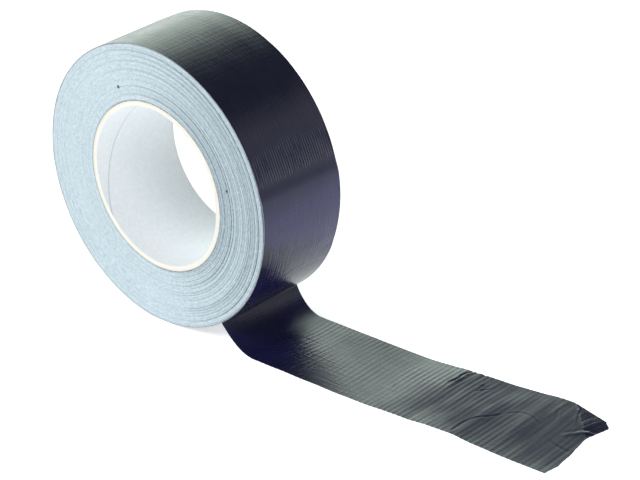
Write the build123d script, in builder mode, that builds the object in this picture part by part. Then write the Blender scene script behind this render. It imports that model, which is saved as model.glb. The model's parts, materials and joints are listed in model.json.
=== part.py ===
"""A 50 mm roll of cloth-backed duct tape on its cardboard core, with a torn tail drawn off.

The roll's axis is Y and its centre is the origin. The tail leaves the roll low on its +X side and
lies on the surface that the roll stands on. Tape is three bonded layers: film, scrim, adhesive.
"""
import os
from math import cos, degrees, pi, radians, sin, sqrt, tan

from build123d import *

# Driving dimensions, in millimetres and degrees ----------------------------------------------
TAPE_WIDTH = 50.0
TAPE_LENGTH = 50_000.0  # wound on the roll
FILM = 0.065  # polyethylene backing
SCRIM = 0.050  # woven cotton cloth
ADHESIVE = 0.080
CORE_BORE = 78.0  # an easy fit on the standard 3 inch hub
CORE_PAPER = 0.15  # white paper inside and outside the core
CORE_PLY = 0.55
CORE_PLIES = 4
LAP_CLEARANCE = 0.05  # between the outer lap and the tape wound under it

PEEL_ANGLE = -57.0  # where the tail leaves the roll, from +X
PEEL_HEADING = -60.0  # which way it leaves
HEEL_FLAT = 3.0  # of tape on the floor before the heel's hinge
FIRST_CREASE = 148.5  # how far from the roll's axis, across the tape
RAMP_SLOPE = 4.6
SECOND_CREASE_NEAR = 177.0  # where the second, slanting crease meets each edge
SECOND_CREASE_FAR = 199.0
TORN_NEAR = (231.0, -25.0)  # the torn end's corners, and points on it, seen from above
TORN_MID = [(230.4, -14.0), (226.6, 1.0)]
TORN_FOLD = (225.0, 8.0)
TORN_TIP = (229.0, 22.5)
FOLD_FAR = (206.0, 25.0)  # where the folded corner's crease meets the far edge

CREASE_GAP = 0.3  # each side of a crease's hinge line
PEEL_GAP_LAP = 0.2  # from the peel line's hinge to the lap's end
PEEL_GAP_HEEL = 0.5  # from the same hinge to the tail's start
PEEL_SLOT = 1.0  # beyond the peel line, where the next lap begins

# Worked out from them --------------------------------------------------------------------------
TAPE = FILM + SCRIM + ADHESIVE
LAYERS = {  # each layer's bottom above the tape's sticky side, and its thickness
    "adhesive": (0.0, ADHESIVE),
    "scrim": (ADHESIVE, SCRIM),
    "film": (ADHESIVE + SCRIM, FILM),
}
CORE_RADIUS = CORE_BORE / 2 + 2 * CORE_PAPER + CORE_PLIES * CORE_PLY
ROLL_RADIUS = sqrt(CORE_RADIUS**2 + TAPE_LENGTH * TAPE / pi)
FLOOR = -ROLL_RADIUS
EDGE = TAPE_WIDTH / 2
PEEL_RADIUS = ROLL_RADIUS - TAPE / 2  # the outer lap's middle
PEEL_POINT = (PEEL_RADIUS * cos(radians(PEEL_ANGLE)), PEEL_RADIUS * sin(radians(PEEL_ANGLE)))
HEEL_START = PEEL_HEADING - 90  # the heel's first point, as an angle about the heel's centre
HEEL_RADIUS = (PEEL_POINT[1] - FLOOR - TAPE / 2) / (1 + sin(radians(HEEL_START)))
HEEL_CENTRE = (
    PEEL_POINT[0] - HEEL_RADIUS * cos(radians(HEEL_START)),
    FLOOR + TAPE / 2 + HEEL_RADIUS,
)
HEEL_HINGE = HEEL_CENTRE[0] + HEEL_FLAT
REACH = 400.0  # longer than anything here, for slabs that are cut to an outline

os.makedirs("parts", exist_ok=True)


def save(piece, name):
    piece.label = name
    export_step(piece, f"parts/{name}.step")


def ring(inner, outer):
    """A hoop of the tape's width about the roll's axis."""
    with BuildPart() as hoop:
        with BuildSketch(Plane.XZ):
            Circle(outer)
            Circle(inner, mode=Mode.SUBTRACT)
        extrude(amount=EDGE, both=True)
    return hoop.part


# The core: white liner, chipboard plies, cover paper ---------------------------------------------
core_walls = [("core_liner", CORE_PAPER)]
core_walls += [(f"core_ply_{number + 1}", CORE_PLY) for number in range(CORE_PLIES)]
core_walls += [("core_cover", CORE_PAPER)]
wall_inside = CORE_BORE / 2
for wall_name, wall in core_walls:
    save(ring(wall_inside, wall_inside + wall), wall_name)
    wall_inside += wall

# The tape wound under the outer lap -----------------------------------------------------------
with BuildPart() as wound_tape:
    with BuildSketch(Plane.XZ):
        Circle(ROLL_RADIUS - TAPE - LAP_CLEARANCE)
        Circle(CORE_RADIUS, mode=Mode.SUBTRACT)
    extrude(amount=EDGE, both=True)
save(wound_tape.part, "wound_tape")

# The outer lap, open where the tape peels off it ----------------------------------------------
slot_width = PEEL_GAP_LAP + PEEL_SLOT  # a cut right through the lap, square to it
slot_middle = PEEL_ANGLE - degrees((PEEL_SLOT - PEEL_GAP_LAP) / 2 / PEEL_RADIUS)
slot_place = (PEEL_RADIUS * cos(radians(slot_middle)), PEEL_RADIUS * sin(radians(slot_middle)))
for layer, (bottom, thickness) in LAYERS.items():
    inside = ROLL_RADIUS - TAPE + bottom
    with BuildPart() as outer_lap:
        with BuildSketch(Plane.XZ):
            Circle(inside + thickness)
            Circle(inside, mode=Mode.SUBTRACT)
            with Locations(slot_place):
                Rectangle(4 * TAPE, slot_width, rotation=slot_middle, mode=Mode.SUBTRACT)
        extrude(amount=EDGE, both=True)
    save(outer_lap.part, f"outer_lap_{layer}")

# The heel: the tail's curve from the peel line down to the floor --------------------------------
heel_from = HEEL_START + degrees(PEEL_GAP_HEEL / HEEL_RADIUS)
heel_sweep = -90 - heel_from
for layer, (bottom, thickness) in LAYERS.items():
    outside = HEEL_RADIUS + TAPE / 2 - bottom  # the sticky side is the outside of this bend
    with BuildPart() as tail_heel:
        with BuildSketch(Plane.XZ):
            with BuildLine():
                under = CenterArc(HEEL_CENTRE, outside, heel_from, heel_sweep)
                over = CenterArc(HEEL_CENTRE, outside - thickness, heel_from, heel_sweep)
                Line(under @ 0, over @ 0)
                Polyline(
                    under @ 1,
                    (HEEL_HINGE - CREASE_GAP, FLOOR + bottom),
                    (HEEL_HINGE - CREASE_GAP, FLOOR + bottom + thickness),
                    over @ 1,
                )
            make_face()
        extrude(amount=EDGE, both=True)
    save(tail_heel.part, f"tail_heel_{layer}")

# The panels between the tail's creases, each flat and a little tilted ----------------------------

def ramp_height(x):
    """How high the ramp's underside stands above the floor at x."""
    return (x - FIRST_CREASE) * tan(radians(RAMP_SLOPE))


def through(*points):
    """The plane through three points given as x, y and height above the floor, facing up."""
    first, second, third = (Vector(x, y, FLOOR + height) for x, y, height in points)
    normal = (second - first).cross(third - first).normalized()
    return Plane(origin=first, z_dir=normal if normal.Z > 0 else -normal)


def height_on(plane, x, y):
    """How high a plane stands above the floor at x, y."""
    out, origin = plane.z_dir, plane.origin
    return origin.Z - FLOOR - ((x - origin.X) * out.X + (y - origin.Y) * out.Y) / out.Z


near_crease = (SECOND_CREASE_NEAR, -EDGE, ramp_height(SECOND_CREASE_NEAR))
far_crease = (SECOND_CREASE_FAR, EDGE, ramp_height(SECOND_CREASE_FAR))
run_plane = Plane.XY.offset(FLOOR)
ramp_plane = through((FIRST_CREASE, -EDGE, 0), near_crease, far_crease)
end_plane = through(near_crease, far_crease, (*TORN_NEAR, 0))
fold_heights = [height_on(end_plane, *point) for point in (FOLD_FAR, TORN_FOLD)]
corner_plane = through((*FOLD_FAR, fold_heights[0]), (*TORN_FOLD, fold_heights[1]), (*TORN_TIP, 0))
fold_run = Vector(*TORN_FOLD) - Vector(*FOLD_FAR)
fold_gap = Vector(-fold_run.Y, fold_run.X).normalized() * CREASE_GAP  # towards the corner's tip


def panel(plane, straight, torn, bottom, thickness):
    """One layer of a panel: a slab on its plane, cut to its outline seen from above."""
    with BuildPart() as slab:
        with BuildSketch(plane.offset(bottom)):
            Rectangle(2 * REACH, 2 * REACH)
        extrude(amount=thickness)
        with BuildSketch(Plane.XY.offset(FLOOR - EDGE)):
            with BuildLine():
                Polyline(*straight)
                if len(torn) > 2:
                    Spline(*torn)
                else:
                    Line(*torn)
            make_face()
        extrude(amount=TAPE_WIDTH, mode=Mode.INTERSECT)
    return slab.part


near_fold = (TORN_FOLD[0] - fold_gap.X, TORN_FOLD[1] - fold_gap.Y)
far_fold = (TORN_FOLD[0] + fold_gap.X, TORN_FOLD[1] + fold_gap.Y)
panels = {  # plane, straight edges, and the torn end or the edge that closes the outline
    "tail_run": (
        run_plane,
        [
            (HEEL_HINGE + CREASE_GAP, -EDGE),
            (FIRST_CREASE - CREASE_GAP, -EDGE),
            (FIRST_CREASE - CREASE_GAP, EDGE),
            (HEEL_HINGE + CREASE_GAP, EDGE),
        ],
        [(HEEL_HINGE + CREASE_GAP, EDGE), (HEEL_HINGE + CREASE_GAP, -EDGE)],
    ),
    "tail_ramp": (
        ramp_plane,
        [
            (FIRST_CREASE + CREASE_GAP, -EDGE),
            (SECOND_CREASE_NEAR - CREASE_GAP, -EDGE),
            (SECOND_CREASE_FAR - CREASE_GAP, EDGE),
            (FIRST_CREASE + CREASE_GAP, EDGE),
        ],
        [(FIRST_CREASE + CREASE_GAP, EDGE), (FIRST_CREASE + CREASE_GAP, -EDGE)],
    ),
    "tail_end": (
        end_plane,
        [
            near_fold,
            (FOLD_FAR[0] - fold_gap.X, EDGE),
            (SECOND_CREASE_FAR + CREASE_GAP, EDGE),
            (SECOND_CREASE_NEAR + CREASE_GAP, -EDGE),
            TORN_NEAR,
        ],
        [TORN_NEAR, *TORN_MID, near_fold],
    ),
    "tail_corner": (
        corner_plane,
        [TORN_TIP, (FOLD_FAR[0] + fold_gap.X, EDGE), far_fold],
        [far_fold, TORN_TIP],
    ),
}
for body, (plane, straight, torn) in panels.items():
    for layer, (bottom, thickness) in LAYERS.items():
        save(panel(plane, straight, torn, bottom, thickness), f"{body}_{layer}")
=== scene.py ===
"""A roll of cloth-backed duct tape with its tail drawn off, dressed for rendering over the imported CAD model."""
import json
import math

import bpy
import numpy as np
from mathutils import Matrix, Vector

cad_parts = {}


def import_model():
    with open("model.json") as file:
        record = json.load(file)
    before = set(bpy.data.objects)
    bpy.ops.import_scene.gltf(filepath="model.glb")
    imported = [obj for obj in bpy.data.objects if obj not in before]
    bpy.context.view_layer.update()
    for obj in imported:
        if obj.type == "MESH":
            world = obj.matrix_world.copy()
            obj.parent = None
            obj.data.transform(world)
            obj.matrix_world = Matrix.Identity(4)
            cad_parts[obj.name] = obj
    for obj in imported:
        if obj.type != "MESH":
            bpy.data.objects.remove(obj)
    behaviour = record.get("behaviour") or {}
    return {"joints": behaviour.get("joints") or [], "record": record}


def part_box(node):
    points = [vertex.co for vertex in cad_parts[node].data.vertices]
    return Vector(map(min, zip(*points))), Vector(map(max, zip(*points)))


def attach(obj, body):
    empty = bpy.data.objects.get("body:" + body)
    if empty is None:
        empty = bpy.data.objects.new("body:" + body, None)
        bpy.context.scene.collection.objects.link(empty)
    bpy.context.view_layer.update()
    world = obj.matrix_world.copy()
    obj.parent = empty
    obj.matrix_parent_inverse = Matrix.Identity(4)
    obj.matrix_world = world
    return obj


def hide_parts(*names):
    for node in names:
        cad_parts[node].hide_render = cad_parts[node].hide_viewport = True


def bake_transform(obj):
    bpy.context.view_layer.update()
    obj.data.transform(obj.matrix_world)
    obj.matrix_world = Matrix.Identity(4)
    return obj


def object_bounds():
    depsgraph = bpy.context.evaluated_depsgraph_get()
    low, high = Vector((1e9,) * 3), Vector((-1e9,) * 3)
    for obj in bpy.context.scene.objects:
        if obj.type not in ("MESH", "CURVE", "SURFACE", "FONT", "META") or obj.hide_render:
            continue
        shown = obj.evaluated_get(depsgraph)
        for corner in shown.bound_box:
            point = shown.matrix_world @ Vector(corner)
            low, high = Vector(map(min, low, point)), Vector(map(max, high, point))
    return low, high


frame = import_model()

cad_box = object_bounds()

# --- Sizes, in metres, all from the frame ---------------------------------------------------------
MM = 0.001
TURN = 2 * math.pi  # in radians
JOINTS = {j["name"]: j for j in frame["joints"]}
MOUNTS = {m["name"]: m for m in frame["record"]["mounts"]}
LAYERS = ("film", "scrim", "adhesive")
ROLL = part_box("outer_lap_film")[1].z  # the roll's outer radius
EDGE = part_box("wound_tape")[1].y  # half the tape's width
FLOOR = cad_box[0].z
LAYER_TOPS = [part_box(f"tail_run_{layer}")[1].z - FLOOR for layer in reversed(LAYERS)]
TAPE = LAYER_TOPS[-1]  # the tape's thickness
CORE_INSIDE = MOUNTS["core_bore"]["dims"]["r_mm"] * MM
CORE_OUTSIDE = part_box("core_cover")[1].z
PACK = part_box("wound_tape")[1].z  # the radius of the tape under the outer lap
LAPS = round((PACK - CORE_OUTSIDE) / TAPE)
PEEL = Vector(JOINTS["peel"]["pos_m"])
PEEL_ANGLE = math.atan2(PEEL.z, PEEL.x)

rng = np.random.default_rng(11)


# --- Numbers that vary smoothly -------------------------------------------------------------------
NOISE_SIZE = 256
SEED_STEP = (17.3, 7.9)  # how far each seed shifts the noise
noise_table = np.random.default_rng(5).uniform(-1, 1, (NOISE_SIZE, NOISE_SIZE))


def ease(t):
    return t * t * (3 - 2 * t)


def rise(x, low, high):
    """0 below low, 1 above high, and a smooth step between."""
    return ease(np.clip((x - low) / (high - low), 0, 1))


def between(x, low, full, falling, gone):
    """Up from 0 to 1 between the first two, and down again between the last two."""
    return rise(x, low, full) * (1 - rise(x, falling, gone))


def value_noise(x, y=0.0, seed=0):
    """Smooth noise from -1 to 1, with features about one unit across."""
    x, y = np.broadcast_arrays(
        np.asarray(x, float) + SEED_STEP[0] * seed, np.asarray(y, float) + SEED_STEP[1] * seed
    )
    i, j = np.floor(x).astype(int), np.floor(y).astype(int)
    a, b = ease(x - i), ease(y - j)
    i, j = i % NOISE_SIZE, j % NOISE_SIZE
    k, m = (i + 1) % NOISE_SIZE, (j + 1) % NOISE_SIZE
    low = noise_table[i, j] * (1 - a) + noise_table[k, j] * a
    high = noise_table[i, m] * (1 - a) + noise_table[k, m] * a
    return low * (1 - b) + high * b


def through(x, knots):
    """A smooth line through a few (x, value) points, level at both ends."""
    at, value = np.array(knots, float).T
    slope = np.gradient(value, at)
    slope[0] = slope[-1] = 0
    n = np.clip(np.searchsorted(at, x) - 1, 0, len(at) - 2)
    step = at[n + 1] - at[n]
    t = np.clip((x - at[n]) / step, 0, 1)
    return (
        value[n] * (1 + 2 * t) * (1 - t) ** 2
        + value[n + 1] * t * t * (3 - 2 * t)
        + slope[n] * step * t * (1 - t) ** 2
        - slope[n + 1] * step * t * t * (1 - t)
    )


def unit(a):
    return a / np.maximum(np.linalg.norm(a, axis=-1, keepdims=True), 1e-12)


# --- Materials ------------------------------------------------------------------------------------
class Shader:
    """A principled material, built node by node."""

    def __init__(self, name, colour, roughness, specular):
        self.material = bpy.data.materials.new(name)
        self.material.use_nodes = True
        self.tree = self.material.node_tree
        self.surface = self.tree.nodes["Principled BSDF"]
        self.put("Base Color", (*colour, 1))
        self.put("Roughness", roughness)
        self.put("Specular IOR Level", specular)

    def put(self, socket, value):
        self.surface.inputs[socket].default_value = value

    def feed(self, socket, source):
        self.tree.links.new(source, self.surface.inputs[socket])

    def plug(self, value, socket):
        """Links a socket to a node's output, or sets it to a constant."""
        if isinstance(value, bpy.types.NodeSocket):
            self.tree.links.new(value, socket)
        else:
            socket.default_value = value

    def node(self, kind, output=0, settings=(), **inputs):
        """A node's output; inputs go by name, or by number as _0, _1 and so on."""
        made = self.tree.nodes.new(f"ShaderNode{kind}")
        for key, value in dict(settings).items():
            setattr(made, key, value)
        for key, value in inputs.items():
            socket = made.inputs[int(key[1:])] if key[0] == "_" else made.inputs[key.replace("_", " ")]
            self.plug(value, socket)
        return made.outputs[output]

    def attribute(self, name, output="Vector"):
        return self.node("Attribute", output, {"attribute_name": name})

    def object_place(self):
        return self.node("TexCoord", 3)

    def split(self, vector):
        return self.node("SeparateXYZ", 0, {}, Vector=vector).node.outputs

    def maths(self, operation, a, b=0.0, c=0.0):
        return self.node("Math", 0, {"operation": operation}, _0=a, _1=b, _2=c)

    def wave(self, value, pitch):
        return self.maths("SINE", self.maths("MULTIPLY", value, TURN / pitch))

    def stretched(self, vector, x, y, z):
        return self.node("Mapping", 0, {}, Vector=vector, Scale=(x, y, z))

    def noise(self, vector, scale=1.0, detail=3.0, roughness=0.5):
        return self.node("TexNoise", 0, {}, Vector=vector, Scale=scale, Detail=detail, Roughness=roughness)

    def spread(self, value, low, high, to_low=0.0, to_high=1.0):
        return self.node(
            "MapRange", 0, {}, Value=value, From_Min=low, From_Max=high, To_Min=to_low, To_Max=to_high
        )

    def mix(self, share, a, b):
        made = self.tree.nodes.new("ShaderNodeMix")
        made.data_type = "RGBA"
        self.plug(share, made.inputs[0])
        for socket, colour in ((made.inputs[6], a), (made.inputs[7], b)):
            self.plug((*colour, 1) if isinstance(colour, tuple) else colour, socket)
        return made.outputs[2]

    def bump(self, height, distance, under=None):
        inputs = {"Height": height, "Distance": distance}
        if under is not None:
            inputs["Normal"] = under
        return self.node("Bump", 0, {}, **inputs)


WARP_PITCH, WEFT_PITCH = 1.7 * MM, 1.5 * MM  # from thread to thread of the cloth
SCORE_PITCH = 1.45 * MM  # from line to line in the scored band


def film_relief(film, strip, cloudy, dull, lined):
    """(the film's bump, and the scored band's lines): weave, fibres, lines and grain."""
    wander = film.noise(strip, 45.0, 2)
    drift = film.maths("MULTIPLY", wander, 3.2 * MM)
    place = film.split(strip)
    warp = film.wave(film.maths("ADD", place[1], drift), WARP_PITCH)
    weft = film.wave(film.maths("ADD", place[0], drift), WEFT_PITCH)
    patchy = film.spread(cloudy, 0.3, 0.7, 0.3, 1.0)
    weave = film.maths("MULTIPLY", film.maths("ADD", warp, weft), patchy)
    relief = film.bump(weave, film.maths("MULTIPLY_ADD", dull, -0.017 * MM, 0.013 * MM))
    fibres = film.noise(film.stretched(strip, 70, 820, 1), 1.0, 3, 0.6)
    relief = film.bump(fibres, film.maths("MULTIPLY_ADD", dull, -0.17 * MM, 0.16 * MM), relief)
    scored = film.wave(film.maths("MULTIPLY_ADD", wander, 0.9 * MM, place[1]), SCORE_PITCH)
    broken = film.spread(film.noise(film.stretched(strip, 90, 500, 1), 1.0, 1), 0.2, 0.5)
    ridges = film.maths("MULTIPLY", scored, broken)
    relief = film.bump(ridges, film.maths("MULTIPLY", lined, 0.06 * MM), relief)
    return film.bump(film.noise(strip, 2600.0, 2, 0.5), 0.007 * MM, relief), ridges


def film_material():
    """Near-black navy polyethylene over cloth: satin, with the weave and the drawing marks faintly in relief."""
    film = Shader("backing_film", (0.009, 0.010, 0.026), 0.34, 0.5)
    strip = film.attribute("strip")  # metres along the tape, then across it
    dull, painted_blue, lined = film.split(film.attribute("finish_and_painted_blue"))
    cloudy = film.noise(strip, 110.0, 4, 0.6)
    relief, ridges = film_relief(film, strip, cloudy, dull, lined)
    film.feed("Normal", relief)
    satin = film.spread(cloudy, 0.3, 0.7, 0.15, 0.22)
    film.feed("Roughness", film.maths("MULTIPLY_ADD", dull, 0.45, satin))
    navy = film.mix(film.spread(cloudy, 0.3, 0.7), (0.0060, 0.0066, 0.024), (0.0090, 0.0096, 0.033))
    # painted reflection: the navy turns blue-violet where the film shows a violet reflection
    navy = film.mix(painted_blue, navy, (0.023, 0.022, 0.122))
    scuffs = film.maths("MULTIPLY", film.spread(ridges, 0.35, 0.9), lined)
    film.feed("Base Color", film.mix(film.maths("MULTIPLY", scuffs, 0.55), navy, (0.14, 0.14, 0.20)))
    return film.material


def adhesive_material():
    glue = Shader("adhesive", (0.62, 0.72, 0.78), 0.42, 0.5)
    cloudy = glue.noise(glue.attribute("strip"), 220.0, 4, 0.6)
    tint = glue.mix(glue.spread(cloudy, 0.3, 0.7), (0.52, 0.61, 0.67), (0.68, 0.78, 0.84))
    glue.feed("Base Color", tint)
    glue.feed("Normal", glue.bump(cloudy, 0.05 * MM))
    return glue.material


def scrim_material():
    cloth = Shader("cloth_scrim", (0.7, 0.72, 0.7), 0.85, 0.2)
    threads = cloth.noise(cloth.stretched(cloth.attribute("strip"), 900, 900, 900), 1.0, 2)
    cloth.feed("Base Color", cloth.mix(threads, (0.55, 0.58, 0.58), (0.82, 0.83, 0.80)))
    return cloth.material


DIRT = [(49.0, 114, 1.1), (48.2, 13, 0.85)]  # specks on the front: radius in mm, degrees, and size in mm
LAP_SIDE = 0.72  # the share of a lap's edge that is pale, before the dark film


def dirty(side, colour):
    """The colour with a few dark specks on the front of the roll."""
    here = side.object_place()
    for radius, degrees, size in DIRT:
        angle = math.radians(degrees)
        spot = (radius * MM * math.cos(angle), -EDGE, radius * MM * math.sin(angle))
        away = side.node("VectorMath", 1, {"operation": "DISTANCE"}, _0=here, _1=spot)
        speck = side.spread(away, 0.5 * size * MM, size * MM, 0.95, 0.0)
        colour = side.mix(speck, colour, (0.02, 0.02, 0.03))
    return colour


def side_material():
    """The wound edges: pale adhesive and cloth, with a dark hair of film at every lap, and painted shade in the lap
    lines and over the side that faces the right.
    """
    side = Shader("tape_side", (0.6, 0.7, 0.77), 0.6, 0.35)
    place = side.attribute("place")  # cosine, sine and radius in metres
    lap, lap_lines_and_painted_shade, painted_dimming = (side.attribute(name, "Fac") for name in ("lap", "lap_lines_and_painted_shade", "painted_dimming"))
    mottle = side.noise(side.stretched(place, 30, 30, 1300), 1.0, 4, 0.7)
    specks = side.noise(side.stretched(place, 75, 75, 1100), 1.0, 2, 0.5)
    dashes = side.noise(side.stretched(place, 34, 34, 2600), 1.0, 1, 0.5)
    flecks = side.noise(side.stretched(place, 70, 70, 2300), 1.0, 2, 0.6)
    colour = side.mix(side.spread(mottle, 0.32, 0.68), (0.49, 0.625, 0.70), (0.76, 0.87, 0.92))
    colour = side.mix(side.spread(specks, 0.62, 0.74, 0.0, 0.5), colour, (0.34, 0.41, 0.47))
    # the lap lines: dark film edges together with painted shade, mixed into the colour
    line = side.maths("MULTIPLY", lap_lines_and_painted_shade, side.spread(dashes, 0.28, 0.52, 0.45, 1.0))
    colour = side.mix(side.maths("MULTIPLY", line, 0.94), colour, (0.04, 0.08, 0.11))
    # painted shade: the side is dimmed in flecks where it faces the right
    painted_dimmed = side.maths("MULTIPLY", painted_dimming, side.spread(flecks, 0.4, 0.6, 0.0, 0.08))
    colour = side.mix(painted_dimmed, colour, (0.27, 0.34, 0.41))
    hair = side.maths("GREATER_THAN", side.maths("FRACT", lap), LAP_SIDE)
    colour = side.mix(side.maths("MULTIPLY", hair, 0.22), colour, (0.10, 0.12, 0.18))
    side.feed("Base Color", dirty(side, colour))
    side.feed("Normal", side.bump(mottle, 0.09 * MM))
    return side.material


SEAM_PITCH = 82.4 * MM  # how far the liner's seam climbs in a turn
SEAM_AT = math.radians(143.7) * SEAM_PITCH / TURN - 8.3 * MM  # a point that it passes


def seam_line(paper, place):
    """1 on the liner's edge, a hairline that climbs round the bore, and 0 off it."""
    x, y, z = paper.split(place)
    climb = paper.maths("MULTIPLY_ADD", paper.maths("ARCTAN2", z, x), SEAM_PITCH / TURN, y)
    lag = paper.maths("WRAP", climb, SEAM_PITCH / 2 + SEAM_AT, SEAM_AT - SEAM_PITCH / 2)
    away = paper.maths("ABSOLUTE", paper.maths("SUBTRACT", lag, SEAM_AT))
    return paper.spread(away, 0.12 * MM, 0.45 * MM, 1.0, 0.0)


def paper_material(name, light, dark, grain=600.0, seam=False):
    paper = Shader(name, light, 0.85, 0.2)
    place = paper.object_place()
    fibre = paper.noise(place, grain, 4, 0.6)
    cloud = paper.noise(place, 60.0, 3, 0.5)
    colour = paper.mix(paper.spread(fibre, 0.3, 0.7), dark, light)
    colour = paper.mix(paper.spread(cloud, 0.35, 0.75, 0.0, 0.35), colour, dark)
    relief = fibre
    if seam:
        line = seam_line(paper, place)
        colour = paper.mix(paper.maths("MULTIPLY", line, 0.55), colour, (0.42, 0.43, 0.45))
        relief = paper.maths("SUBTRACT", fibre, paper.maths("MULTIPLY", line, 2.0))
    paper.feed("Base Color", colour)
    paper.feed("Normal", paper.bump(relief, 0.04 * MM))
    return paper.material


film_look = film_material()
adhesive_look = adhesive_material()
scrim_look = scrim_material()
side_look = side_material()
liner_look = paper_material("core_liner", (0.92, 0.95, 0.97), (0.83, 0.865, 0.895), seam=True)
cover_look = paper_material("core_paper", (0.97, 0.94, 0.86), (0.90, 0.85, 0.72))
board_look = paper_material("core_board", (0.99, 0.98, 0.95), (0.94, 0.90, 0.82), 2200.0)


# --- Meshes ---------------------------------------------------------------------------------------
def make_piece(name, points, faces, materials, face_slots, smooth=True):
    """A mesh piece from points in metres."""
    mesh = bpy.data.meshes.new(name)
    mesh.from_pydata([tuple(p) for p in points], [], [tuple(int(i) for i in f) for f in faces])
    for material in materials:
        mesh.materials.append(material)
    mesh.polygons.foreach_set("material_index", np.asarray(face_slots, np.int32))
    mesh.polygons.foreach_set("use_smooth", np.broadcast_to(smooth, len(mesh.polygons)))
    mesh.update()
    piece = bpy.data.objects.new(name, mesh)
    bpy.context.scene.collection.objects.link(piece)
    return piece


def give(piece, name, values, kind="FLOAT_VECTOR"):
    """A named attribute at each point, for the materials."""
    attribute = piece.data.attributes.new(name, kind, "POINT")
    field = "vector" if kind == "FLOAT_VECTOR" else "value"
    attribute.data.foreach_set(field, np.asarray(values, np.float32).ravel())


def quads(rows, columns, closed=False):
    """The faces of a grid of points, row by row; closed joins the last row to the first."""
    i = np.arange(rows if closed else rows - 1)[:, None]
    j = np.arange(columns - 1)[None, :]
    k = (i + 1) % rows
    corners = [i * columns + j, i * columns + j + 1, k * columns + j + 1, k * columns + j]
    return np.stack(corners, -1).reshape(-1, 4)


def polar(points):
    """Each point's cosine and sine about the roll's axis, and its radius."""
    radius = np.maximum(np.hypot(points[:, 0], points[:, 2]), 1e-9)
    return np.stack([points[:, 0] / radius, points[:, 2] / radius, radius], -1)


# --- The core -------------------------------------------------------------------------------------
AROUND = 256  # points round each ply
SOFT_EDGE = 0.12 * MM  # the most that a cut edge is rounded
BOARD_CUT, PAPER_CUT = 0.12 * MM, 0.05 * MM  # how unevenly the board and the papers are cut
CORE_LOOKS = {
    "core_liner": liner_look,
    "core_ply_1": board_look,
    "core_ply_2": board_look,
    "core_ply_3": board_look,
    "core_ply_4": cover_look,
    "core_cover": cover_look,
}


def turned_points(outline, cut, seed):
    """A closed outline of (radius, y) turned about the roll's axis, its ends pushed in unevenly by up to the cut."""
    radius, y = np.array(outline).T[:, None, :]
    angle = np.linspace(0, TURN, AROUND, endpoint=False)[:, None]
    uneven = cut * value_noise(40 * np.cos(angle), 40 * np.sin(angle), seed)
    y = y - np.abs(uneven) * np.sign(y)
    return np.stack([radius * np.cos(angle), y, radius * np.sin(angle)], -1)


def core_ring(node, material):
    """One ply of the core: a ring with softly rounded, slightly uneven cut edges."""
    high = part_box(node)[1]
    outside, half = high.z, high.y
    plies_inside = [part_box(n)[1].z for n in CORE_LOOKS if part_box(n)[1].z < outside - 1e-6]
    inside = max(plies_inside, default=CORE_INSIDE)
    soft = min((outside - inside) / 3, SOFT_EDGE)
    front = [(inside, -half + soft), (inside + soft, -half), (outside - soft, -half), (outside, -half + soft)]
    outline = front + [(radius, -y) for radius, y in reversed(front)]
    cut = BOARD_CUT if material is board_look else PAPER_CUT
    points = turned_points(outline, cut, outside / MM).reshape(-1, 3)
    columns = len(outline)
    row, column = np.divmod(quads(AROUND, columns + 1, closed=True), columns + 1)
    faces = row * columns + column % columns  # the outline's last point is its first again
    piece = make_piece(f"{node}_ply", points, faces, [material], np.zeros(len(faces), int))
    give(piece, "place", polar(points))
    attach(piece, "roll")
    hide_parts(node)


for node, look in CORE_LOOKS.items():
    core_ring(node, look)


# --- The wound tape: one spiral, lap on lap -------------------------------------------------------
STEPS = 176  # round the roll
STANDING_EVERY = 4.2  # laps, on average, from one that stands out to the next
LAP_SHARE = 0.86  # of the pitch from lap to lap, the part that is the lap's own flat edge
LAP_STEP = 0.012 * MM  # how far each lap's outer edge lies back from its inner one
INSET = 0.09 * MM  # how far the edges lie back from the tape's full width
BACK_SHIFT = 37  # laps by which the marks on the back differ from those on the front


def towards(angle, degrees):
    """From 0 to 1, how nearly an angle about the axis points a given way."""
    return 0.5 + 0.5 * np.cos(angle - math.radians(degrees))


def standing_laps(turn, angle, stand, lap_lines_and_painted_shade):
    """Sinks a few laps, picked at random, and darkens them with painted shade, both most where they face the right."""
    lap = 3.0
    while lap < LAPS - 3:
        depth, width, skew = rng.uniform(0.45, 1.0), rng.uniform(0.7, 1.6), rng.uniform(-0.9, 0.9)
        near = np.exp(-(((turn - lap) / width) ** 2)) * rise(towards(angle - 0.6 * skew, 14), 0.45, 1.0)
        lap_lines_and_painted_shade = np.maximum(lap_lines_and_painted_shade, depth * near)
        stand = stand - 0.1 * MM * depth * near
        lap += STANDING_EVERY * rng.uniform(0.5, 1.5)
    return stand, lap_lines_and_painted_shade


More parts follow.
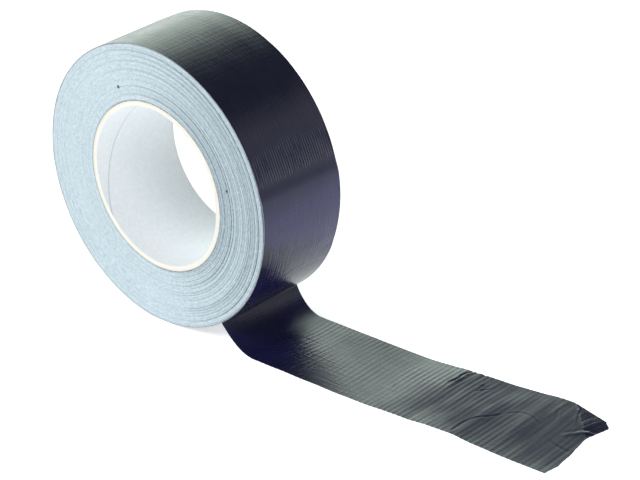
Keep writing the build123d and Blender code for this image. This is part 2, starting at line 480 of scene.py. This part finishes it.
def lap_marks(turn, angle):
    """(how far each lap stands out in metres, how dark its line is, from the dark film edges and from painted shade
    strongest where the side faces the right, and how far painted shade dims it overall on the right).
    """
    facing_right = towards(angle, 12)
    strength = 0.15 + 0.85 * rise(facing_right, 0.35, 0.95)
    bands = value_noise(turn / 3.1, seed=1) + 0.8 * value_noise(turn / 1.45, seed=2)
    stand = strength * (0.055 * bands + 0.03 * value_noise(turn / 0.9, seed=3)) * MM
    # painted shade: the telescoped bands are darkened, most where the side faces the right
    lap_lines_and_painted_shade = np.clip(-1.2 * bands - 0.1, 0, 1) * strength
    stand, lap_lines_and_painted_shade = standing_laps(turn, angle, stand, lap_lines_and_painted_shade)
    rim = rise(turn, LAPS - 2.2, LAPS - 1.2)  # the last laps lie back from the outer one, and painted shade darkens this gap on the right
    lap_lines_and_painted_shade = np.maximum(lap_lines_and_painted_shade, 0.75 * rim * rise(facing_right, 0.5, 0.9))
    dotted = rise(turn, LAPS - 1.3, LAPS - 0.7) * (0.5 + 0.5 * value_noise(40 * angle, seed=4))
    lap_lines_and_painted_shade = np.maximum(lap_lines_and_painted_shade, 0.8 * dotted)
    gap = (1 - rise(turn, 2.6, 4.6)) * (0.6 + 0.4 * rise(facing_right, 0.1, 0.6))  # a dark joint round the core, made darker towards the right with painted shade
    lap_lines_and_painted_shade = np.maximum(lap_lines_and_painted_shade, gap * (0.6 + 0.4 * value_noise(26 * angle, seed=5)))
    # painted shade: the side is dimmed where it faces the right
    painted_dimming = rise(facing_right, 0.52, 1.0) - 0.25 * (1 - rise(facing_right, 0, 0.3))
    return stand, np.clip(lap_lines_and_painted_shade, 0, 1), painted_dimming


def spiral_faces(count):
    """Faces over four lines of points: the laps' inner and outer edges at the front, then at the back."""
    first = np.arange(4) * count
    i, j = np.arange(count - 1), np.arange(count - 1 - STEPS)
    faces = []
    for low, high, flip in ((first[0], first[1], False), (first[2], first[3], True)):
        side = np.stack([low + i, low + i + 1, high + i + 1, high + i], -1)
        step = np.stack([high + j, high + j + 1, low + j + STEPS + 1, low + j + STEPS], -1)
        both = np.concatenate([side, step])
        faces.append(both[:, ::-1] if flip else both)
    last, start = i[-STEPS:], i[:STEPS]
    faces.append(np.stack([first[1] + last, first[1] + last + 1, first[3] + last + 1, first[3] + last], -1))
    faces.append(np.stack([first[2] + start, first[2] + start + 1, first[0] + start + 1, first[0] + start], -1))
    return np.concatenate(faces)


def wound_tape():
    turn = np.arange(LAPS * STEPS + 1) / STEPS  # laps from the core outwards
    angle = PEEL_ANGLE + TURN * turn
    pitch = (PACK - CORE_OUTSIDE) / (LAPS + 1)
    inner = CORE_OUTSIDE + pitch * turn
    outer = inner + pitch * LAP_SHARE
    stand, lap_lines_and_painted_shade, painted_dimming = lap_marks(turn, angle)
    points, laps = [], []
    for side, mark in ((-1, stand), (1, 0.7 * np.roll(stand, BACK_SHIFT * STEPS))):
        for radius, back, part in ((inner, 0.0, 0.0), (outer, LAP_STEP, 0.999)):
            y = side * (EDGE - INSET - back + mark)
            points.append(np.stack([radius * np.cos(angle), y, radius * np.sin(angle)], -1))
            laps.append(np.floor(turn) + part)
    points = np.concatenate(points)
    faces = spiral_faces(len(turn))
    piece = make_piece("wound_tape_spiral", points, faces, [side_look], np.zeros(len(faces), int), smooth=False)
    give(piece, "place", polar(points))
    give(piece, "lap", np.concatenate(laps), "FLOAT")
    give(piece, "lap_lines_and_painted_shade", np.tile(lap_lines_and_painted_shade, 4), "FLOAT")
    give(piece, "painted_dimming", np.tile(painted_dimming, 4), "FLOAT")
    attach(piece, "roll")
    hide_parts("wound_tape")


wound_tape()


# --- The tail's shape, in mm: x from the roll's axis, y across the tape ---------------------------
TAIL_END = 231.0  # where the tail ends before its torn edge is laid on
TORN = [  # (y, x) along the torn edge
    (-25, 234.4), (-19, 235.4), (-12, 235.2), (1, 233.4), (8, 232.6),
    (12, 233.0), (18, 233.2), (22, 232.4), (25, 229.0),
]
NEAR_EDGE = [(60, 0), (130, 0), (150, 0.9), (177, 2.1), (193, 0.8), (208, 0.15), (232, 0.0)]  # (x, height)
FAR_EDGE = [(60, 0), (124, 0), (149, 1.9), (178, 3.0), (206, 4.9), (232, 4.2)]
WAVES = [  # height, x where it starts and is full, length, width, noise seed
    (0.16, 58, 80, 8.5, 60, 6),
    (0.10, 150, 170, 9, 9, 7),
    (0.07, 140, 155, 2.4, 18, 20),
]
RIB_PITCH, RIB_HEIGHT = 2.9, 0.15
FOLD_FAR, FOLD_TORN = np.array([206.0, 25.0]), np.array([225.0, 8.0])  # the folded corner's crease
FOLD_DROP = 0.30  # how steeply the corner falls past it
FOLD_ROUNDING = 0.7
CREASES = [  # path seen from above, ridge height, width, fades in by, fades out from
    ([(151, 27), (149, 22), (147.2, 18), (147.9, 14), (146.8, 10), (148, 4)], 0.55, 0.65, 0.0, 0.7),
    ([(152.5, 27), (151, 14), (150.5, -2)], 0.34, 1.3, 0.0, 0.5),
    ([(157, 25), (156, 14), (156.5, 6)], 0.16, 1.1, 0.1, 0.6),
    ([(177.5, -24), (176.9, -15), (178.8, -9), (183, -4.3), (187, 2)], 0.27, 0.6, 0.0, 0.8),
    ([(187, 1), (191, 5), (200.5, 4.3), (206.5, 1.8)], 0.14, 0.6, 0.1, 0.8),
    ([(162, 18), (162.5, 12), (164.5, 7)], 0.32, 0.6, 0.3, 0.7),
    ([(161, 9), (165.5, 12), (167, 15)], 0.28, 0.5, 0.3, 0.7),
    ([(160.5, 14), (163, 15.5)], 0.24, 0.5, 0.3, 0.7),
    ([(127.2, -5), (129.4, -8.5)], 0.3, 0.4, 0.3, 0.7),
    ([(199, 21.5), (202, 26)], -0.15, 0.7, 0.3, 0.8),
    ([(204, 17), (209, 9)], 0.14, 0.7, 0.2, 0.8),
    ([(210.5, 24), (214.5, 16), (219, 10)], -0.16, 0.6, 0.2, 0.8),
    ([(217.5, 0.5), (222, 5), (226.5, 10)], -0.3, 1.2, 0.3, 1.0),
    ([(214, -3.5), (221, -6), (230, -6.5)], 0.13, 0.9, 0.3, 0.9),
]


def signed_distance(x, y, path):
    """(distance from a path, positive on its right, and how far along it the nearest point is, 0 to 1)."""
    best, where, run = np.full(x.shape, 1e9), np.zeros(x.shape), 0.0
    sign = np.ones(x.shape)
    lengths = np.hypot(*np.diff(path, axis=0).T)
    for (x0, y0), (x1, y1), length in zip(path[:-1], path[1:], lengths):
        dx, dy = (x1 - x0) / length, (y1 - y0) / length
        t = np.clip((x - x0) * dx + (y - y0) * dy, 0, length)
        away = np.hypot(x - x0 - t * dx, y - y0 - t * dy)
        nearer = away < best
        best = np.where(nearer, away, best)
        sign = np.where(nearer, np.sign((x - x0) * dy - (y - y0) * dx), sign)
        where = np.where(nearer, (run + t) / lengths.sum(), where)
        run += length
    return best * sign, where


def smooth_path(points):
    """A smooth curve through a few points, as many short runs."""
    points = np.array(points, float)
    run = np.concatenate([[0], np.cumsum(np.hypot(*np.diff(points, axis=0).T))])
    at = np.linspace(0, run[-1], 8 * len(points))
    return np.stack([through(at, np.stack([run, points[:, k]], -1)) for k in (0, 1)], -1)


def ribs(x, y):
    """The cloth's cross threads, as ridges from 0 to 1 across the tail."""
    return 0.5 + 0.5 * np.sin(TURN * (x + 1.8 * value_noise(x / 34, y / 30, 4)) / RIB_PITCH)


def rib_strength(x, y):
    """How high the ribs stand, which varies over the tail and fades towards its end."""
    return rise(x, 52, 66) * (0.75 + 0.55 * value_noise(x / 17, y / 13, 5)) * (1 - 0.55 * rise(x, 176, 200))


def beyond_fold(x, y):
    """How far past the folded corner's crease a point lies."""
    across = np.array([FOLD_FAR[1] - FOLD_TORN[1], FOLD_TORN[0] - FOLD_FAR[0]])
    across = across / np.hypot(*across)
    return (x - FOLD_FAR[0]) * across[0] + (y - FOLD_FAR[1]) * across[1]


def fold_drop(x, y):
    """How far the folded corner falls, with the crease rounded off."""
    beyond = beyond_fold(x, y)
    rounded = (beyond + FOLD_ROUNDING) ** 2 / (4 * FOLD_ROUNDING)
    return FOLD_DROP * np.where(beyond > FOLD_ROUNDING, beyond, np.where(beyond < -FOLD_ROUNDING, 0, rounded))


def height(x, y):
    """The tail's height above the floor."""
    near, far = through(x, NEAR_EDGE), through(x, FAR_EDGE)
    h = near + (far - near) * rise(y, -27, 27)
    h = h + RIB_HEIGHT * ribs(x, y) * rib_strength(x, y)
    for tall, start, full, long, wide, seed in WAVES:
        h = h + tall * rise(x, start, full) * (1 + value_noise(x / long, y / wide, seed))
    for path, tall, wide, fade_in, fade_out in CREASES:
        away, t = signed_distance(x, y, smooth_path(path))
        ridge = 0.6 * np.exp(-(((away + wide) / wide) ** 2)) - np.exp(-((away / wide) ** 2))
        h = h + tall * between(t, -0.01, fade_in, fade_out, 1.01) * ridge
    return np.maximum(h - fold_drop(x, y), 0)


def torn_edge(y):
    """x of the torn edge, with its loose threads as noise."""
    return through(y, TORN) + 0.16 * value_noise(y / 0.7, 3.0, 8) + 0.22 * value_noise(y / 2.3, 5.0, 9)


# --- The strip: the outer lap and the tail, as one surface cut into pieces ------------------------
# s is the distance along the strip past the peel line, and v goes from -1 at the near edge to 1 at the far one.
HEADINGS = (math.radians(-52), math.radians(-68))  # how the tail leaves the roll at its near and far edges
FOLD_LENGTH = 1.6 * MM  # of the sharp bend at the peel line
SWAY = 2.2  # how far the tail lies to the front of the roll, in mm
COLUMNS = 89
S_START = -0.5 * ROLL  # where the moving strip takes over from the rigid lap


def side_view(s, v):
    """x and z of one line along the strip: round the lap, off it at a sharp bend, and in an arc to the floor."""
    heading = HEADINGS[0] + (HEADINGS[1] - HEADINGS[0]) * (v + 1) / 2
    bend = (PEEL.z - FLOOR - TAPE / 2) / (1 - math.cos(heading))
    heel = bend * -heading
    lap_heading = PEEL_ANGLE - math.pi / 2 - s / PEEL.length
    tail_heading = np.clip(heading + np.maximum(s, 0) / bend, None, 0)
    share = rise(s, -FOLD_LENGTH / 2, FOLD_LENGTH / 2)
    angle = lap_heading * (1 - share) + tail_heading * share
    halfway, gap = (angle[1:] + angle[:-1]) / 2, np.diff(s)
    first = PEEL_ANGLE - s[0] / PEEL.length
    x = PEEL.length * math.cos(first) + np.concatenate([[0], np.cumsum(np.cos(halfway) * gap)])
    z = PEEL.length * math.sin(first) + np.concatenate([[0], np.cumsum(np.sin(halfway) * gap)])
    return x, z + (FLOOR + TAPE / 2 - z[-1]) * rise(s, 0, heel)


def strip_middle(s, v):
    """The strip's middle surface in metres."""
    out = np.zeros((len(s), len(v), 3))
    for column, part in enumerate(v):
        x, z = side_view(s, part)
        out[:, column] = np.stack([x, np.full_like(x, part * EDGE), z], -1)
    s, v = s[:, None], v[None, :]
    x, y = out[..., 0] / MM, out[..., 1] / MM
    x = x + rise(x, 110, TAIL_END) * (torn_edge(y[0]) - TAIL_END)
    y = y + 0.12 * value_noise(x / 11, v * 3, 10) * np.abs(v) * rise(x, 60, 80)
    y = y - SWAY * rise(s / MM, 2, 26) * (1 - 0.75 * rise(x, 150, 222))
    out[..., 0], out[..., 1] = x * MM, y * MM
    out[..., 2] += height(x, y) * MM * rise(s, 12 * MM, 28 * MM)
    return out


def creased_away(s, v, x):
    """Where the tail's raised part, from the first crease on, turns the light away."""
    past = x - 2.0 * v + 0.8 * value_noise(s / 9, 5 * v, 16)
    far = rise(v, -0.1, 0.4)
    away = far * rise(past, 147, 149.5) + (1 - far) * rise(past, 130, 158)
    return away * (0.4 + 0.6 * rise(v, -0.95, -0.2)) * (1 - 0.25 * rise(past, 176, 192))


def thread_marks(x, y):
    """Dull lines that lie between the ribs, with finer ones past the first crease."""
    marks = rib_strength(x, y) * ((1 - ribs(x, y)) ** 2 - 0.3)
    return marks + 0.55 * rise(x, 140, 155) * value_noise(x / 2.2, y / 16, 19)


def dullness(s, v, x, y, cloud):
    """How dull the film is, with s, x and y in mm."""
    facet = rise(beyond_fold(x, y), -0.5, 1.0) * rise(x, 200, 208)  # the folded corner
    dull = 0.24 - 0.14 * rise(s, -80, -60) + 0.08 * (1 - rise(s, -150, -120))  # on the lap
    dull = dull + 0.13 * rise(-v, -0.2, 1) * between(s, -82, -70, -50, -38)
    dull = dull + 0.22 * between(s, -88, -86, -82, -66)
    dull = dull + 0.25 * rise(v, 0, 0.5) * between(s, 8, 14, 22, 34)  # on the heel
    dull = dull + 0.22 * rise(v, -0.2, 0.7) * between(s, 10, 26, 66, 90)
    dull = dull + 0.2 * rise(s, 34, 64) + 0.07 * rise(s, 10, 50) * cloud  # on the tail
    dull = dull + 0.09 * between(x, 124, 134, 146, 150) + 0.1 * rise(x, 200, 215)
    dull = dull + 0.52 * creased_away(s, v, x) + 0.38 * thread_marks(x, y)
    return dull * (1 - 0.9 * facet)


def painted_blue_reflection(s, v):
    """A painted blue-violet reflection on the film, with s in mm: strong near the top of the lap, faint down to the
    heel.
    """
    ragged = value_noise(s / 9, 9 * v, 18)
    fading = s - 14 * v - 5 * ragged
    painted_blue = rise(s, -88, -85.5) * (0.22 + 0.78 * rise(s, -84, -66 - 4 * v)) * (1 - rise(fading, -56, -34))
    faint = (0.3 - 0.08 * rise(s, -5, 10)) * between(s, -60, -30, 30, 50) + 0.1 * rise(s, -125, -100)
    return np.maximum(painted_blue, faint + 0.18 * rise(v, -0.1, 0.5) * between(s, 2, 8, 14, 26))


def finish_and_painted_blue(s, v, x=0.0, y=0.0):
    """Over the strip: how dull it is, how strong its painted blue reflection, and how strongly it is lined along its
    length.
    """
    s, v, x, y = np.broadcast_arrays(s / MM, v, x, y)
    cloud = value_noise(s / 14, 2 * v, 12)
    lined = rise(s - 2 * cloud, -104, -99) * (1 - rise(s, -87, -85.5))
    channels = [dullness(s, v, x, y, cloud), painted_blue_reflection(s, v), lined]
    return np.clip(np.stack(channels, -1), 0, 1)


def strip_rows():
    """Distances along the strip, closest where it bends most."""
    fold = np.linspace(-2.4, 2.4, 25)
    lap = np.linspace(S_START / MM, -2.4, 48, endpoint=False)
    lap = np.concatenate([[2 * lap[0] - lap[1]], lap])
    heel = np.linspace(2.4, 24, 44)[1:]
    run = np.arange(24.5, 200.0, 0.5)
    return np.concatenate([lap, fold, heel, run]) * MM


def facings(surface):
    """The way the surface faces at each point, on one of its two sides."""
    return unit(np.cross(np.gradient(surface, axis=1), np.gradient(surface, axis=0)))


def rim_blocks(count, columns, turned_over):
    """The faces round a strip's four edges, layer by layer, each block with its material's slot."""
    size = count * columns
    near, start = np.arange(count) * columns, np.arange(columns)
    far, end = near + columns - 1, start + size - columns
    for line in (near, far[::-1], end, start[::-1]):
        for level, slot in ((0, 2), (1, 1), (2, 0)):
            low, high = line + level * size, line + (level + 1) * size
            block = np.stack([low[:-1], low[1:], high[1:], high[:-1]], -1)
            yield (block[:, ::-1] if turned_over else block), slot


def solid_strip(name, skin, out, strip, marks):
    """A closed solid of three layers round a middle surface, with square edges and smooth faces."""
    count, columns = skin.shape[:2]
    shares = [top / TAPE - 0.5 for top in (0.0, *LAYER_TOPS)]  # from the sticky side to the film
    points = np.concatenate([(skin + out * TAPE * share).reshape(-1, 3) for share in shares])
    turned_over = np.cross(skin[1, 0] - skin[0, 0], skin[0, 1] - skin[0, 0]) @ out[0, 0] > 0
    up = quads(count, columns)[:, :: -1 if turned_over else 1]
    down = up[:, ::-1]
    flat = out.reshape(-1, 3)
    faces, slots, normals = [up + 3 * count * columns, down], [0 * up[:, 0], 0 * up[:, 0] + 2], [flat[up], -flat[down]]
    for block, slot in rim_blocks(count, columns, turned_over):
        corner = points[block]
        normal = unit(np.cross(corner[:, 1] - corner[:, 0], corner[:, 2] - corner[:, 1]))
        faces.append(block)
        slots.append(0 * block[:, 0] + slot)
        normals.append(np.repeat(normal[:, None], 4, 1))
    smooth = np.arange(sum(map(len, faces))) < 2 * len(up)  # the edges stay square
    looks = [film_look, scrim_look, adhesive_look]
    piece = make_piece(name, points, np.concatenate(faces), looks, np.concatenate(slots), smooth)
    give(piece, "strip", np.tile(strip.reshape(-1, 3), (4, 1)))
    give(piece, "finish_and_painted_blue", np.tile(marks.reshape(-1, 3), (4, 1)))
    piece.data.normals_split_custom_set(np.concatenate([n.reshape(-1, 3) for n in normals]).tolist())
    return piece


def along_and_across(s, v):
    """Metres along the strip and across it at each point, for the film's material."""
    return np.stack(np.broadcast_arrays(s[:, None], v[None, :] * EDGE, 0.0), -1)


# --- The moving pieces, cut from the strip one for each joint in the plan -------------------------
STRIP_PLAN = [  # piece, its two bodies, the joint between them, and half of the bend's length
    ("tape_peel", "outer_lap", "tail_heel", "peel", 2.2 * MM),
    ("tape_heel", "tail_heel", "tail_run", "heel_flex", 8 * MM),
    ("tape_run", "tail_run", "tail_ramp", "first_crease", 5 * MM),
    ("tape_hump", "tail_ramp", "tail_end", "second_crease", 3.2 * MM),
    ("tape_end", "tail_end", "tail_corner", "corner_fold", 2.2 * MM),
]
HEEL_CUT = 11 * MM  # s where tape_peel ends
X_CUTS = (104 * MM, 163 * MM, 202.6 * MM)  # where tape_heel, tape_run and tape_hump end


def nearest(values, value):
    return int(np.argmin(np.abs(values - value)))


def moving_strip():
    """(s of each row, v of each column, the middle surface, and the way its film faces), up to the torn edge."""
    s, v = strip_rows(), np.linspace(-1, 1, COLUMNS)
    middle = strip_middle(s, v)
    count = int(np.argmax(middle[:, 0, 0] >= TAIL_END * MM - 1e-9)) + 1
    facing = facings(middle[:count])
    return s[:count], v, middle[:count], facing * np.sign(facing[-1, 0, 2])


def moving_pieces():
    s, v, middle, facing = moving_strip()
    marks = finish_and_painted_blue(s[:, None], v[None, :], middle[..., 0] / MM, middle[..., 1] / MM)
    centre_x = middle[:, COLUMNS // 2, 0]
    cuts = [1, nearest(s, HEEL_CUT), *[nearest(centre_x, x) for x in X_CUTS], len(s) - 1]
    for (name, body, beyond_body, joint, half), first, last in zip(STRIP_PLAN, cuts[:-1], cuts[1:]):
        part = slice(first, last + 1)
        piece = solid_strip(name, middle[part], facing[part], along_and_across(s[part], v), marks[part])
        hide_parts(*[f"{beyond_body}_{layer}" for layer in LAYERS])
        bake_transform(piece)


moving_pieces()


# --- The rest of the outer lap, which turns with the tail -----------------------------------------
LAP_ROWS, LAP_COLUMNS = 480, 45
LAP_GAP = 1.0 * MM  # between the lap's end and the peel line


def lap_relief(angle, v):
    """How far the outer lap stands off its circle, in mm."""
    turn = np.degrees(angle - PEEL_ANGLE)  # from the peel line, round over the top
    waves = 0.05 * value_noise(turn / 9, 1.5 * v, 14) + 0.03 * value_noise(turn / 3.5, v, 15)
    waves = waves - 0.3 * rise(v, 0.55, 1.05)
    fold = turn - 68.8 + 0.5 * v  # a soft fold across the lap
    step = 0.55 * between(fold, -30, -6, -4, 1.8)
    wander = turn + 0.5 * value_noise(turn / 8, 2 * v, 17)
    threads = 0.022 * np.sin(TURN * wander / 2.4) * rise(turn, 95, 120)
    return between(turn, 28.7, 34, 340, 352) * (waves + step + threads)


def outer_lap():
    start = PEEL_ANGLE - S_START / PEEL.length
    angle = np.linspace(start, PEEL_ANGLE + TURN - LAP_GAP / ROLL, LAP_ROWS)
    v = np.linspace(-1, 1, LAP_COLUMNS)
    radius = PEEL.length + lap_relief(angle[:, None], v[None, :]) * MM
    y = np.broadcast_to(EDGE * v, radius.shape)
    skin = np.stack([radius * np.cos(angle[:, None]), y, radius * np.sin(angle[:, None])], -1)
    out = facings(skin)
    out = out * np.sign(out[0, 0] @ skin[0, 0])
    out[0] = unit(skin[0] * np.array([1, 0, 1]))  # the same as the moving strip's, where they meet
    s = -(angle - PEEL_ANGLE) * PEEL.length
    return solid_strip("outer_lap_tape", skin, out, along_and_across(s, v), finish_and_painted_blue(s[:, None], v[None, :]))


lap_piece = outer_lap()
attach(lap_piece, "outer_lap")
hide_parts(*[f"outer_lap_{layer}" for layer in LAYERS])


# --- Floor, light and camera ----------------------------------------------------------------------
FLOOR_GAP = 0.02 * MM
FLOOR_GLOW = 0.65  # the floor's own light, which keeps the shadow faint
CAMERA_TURNS = (-0.782, 0.449, -0.056)  # yaw, pitch and roll, in radians
CAMERA_AT = (1.05265, -0.97975, 0.65205)
LENS, SENSOR = 191.4, 36.0  # in mm
LIGHTS = [  # name, azimuth, elevation, distance, size, power, colour
    ("back_softbox", -133, 21, 1.8, (1.5, 1.3), 14.0, (0.89, 1.06, 0.92)),
    ("low_softbox", -140, 3, 1.8, (1.6, 0.3), 1.7, (0.95, 1.0, 1.0)),
    ("front_softbox", -40, 35, 1.6, (1.0, 1.0), 7.0, (1, 1, 1)),
    ("right_softbox", 85, 35, 1.6, (1.0, 1.0), 2.0, (1, 1, 1)),
    ("rear_softbox", 140, 21, 1.6, (1.0, 0.7), 1.3, (1, 1, 1)),
    ("high_softbox", 12, 50, 1.8, (1.0, 1.0), 11.5, (1, 1, 1)),
]


def stage():
    bpy.ops.mesh.primitive_circle_add(vertices=64, radius=6, fill_type="NGON", location=(0, 0, FLOOR - FLOOR_GAP))
    floor = bpy.context.object
    floor.name = "floor"
    look = Shader("floor", (0.94, 0.94, 0.94), 0.9, 0.1)
    look.put("Emission Color", (1, 1, 1, 1))
    look.put("Emission Strength", FLOOR_GLOW)
    floor.data.materials.append(look.material)


def soft_light(name, azimuth, elevation, distance, size, power, colour):
    """An area light aimed at the roll; azimuth is from -Y towards +X."""
    a, e = math.radians(azimuth), math.radians(elevation)
    way = Vector((math.sin(a) * math.cos(e), -math.cos(a) * math.cos(e), math.sin(e)))
    data = bpy.data.lights.new(name, "AREA")
    data.shape, data.size, data.size_y = "RECTANGLE", *size
    data.energy, data.color = power, colour
    light = bpy.data.objects.new(name, data)
    bpy.context.scene.collection.objects.link(light)
    light.location = way * distance
    light.rotation_euler = way.to_track_quat("Z", "Y").to_euler()


def camera():
    yaw, pitch, roll = CAMERA_TURNS
    forward = Vector((math.sin(yaw) * math.cos(pitch), math.cos(yaw) * math.cos(pitch), -math.sin(pitch)))
    level = Vector((math.cos(yaw), -math.sin(yaw), 0))
    upright = level.cross(forward)
    right = level * math.cos(roll) + upright * math.sin(roll)
    up = upright * math.cos(roll) - level * math.sin(roll)
    data = bpy.data.cameras.new("camera")
    data.sensor_width, data.lens = SENSOR, LENS
    data.clip_start, data.clip_end = 0.05, 50
    eye = bpy.data.objects.new("camera", data)
    bpy.context.scene.collection.objects.link(eye)
    eye.matrix_world = Matrix((right, up, -forward)).transposed().to_4x4()
    eye.location = CAMERA_AT
    bpy.context.scene.camera = eye


def world():
    made = bpy.data.worlds.new("studio")
    bpy.context.scene.world = made
    made.use_nodes = True
    background = made.node_tree.nodes["Background"]
    background.inputs["Color"].default_value = (0.9, 0.95, 1.0, 1)
    background.inputs["Strength"].default_value = 0.13


stage()
world()
for light in LIGHTS:
    soft_light(*light)
camera()
bpy.context.scene.view_settings.view_transform = "Standard"
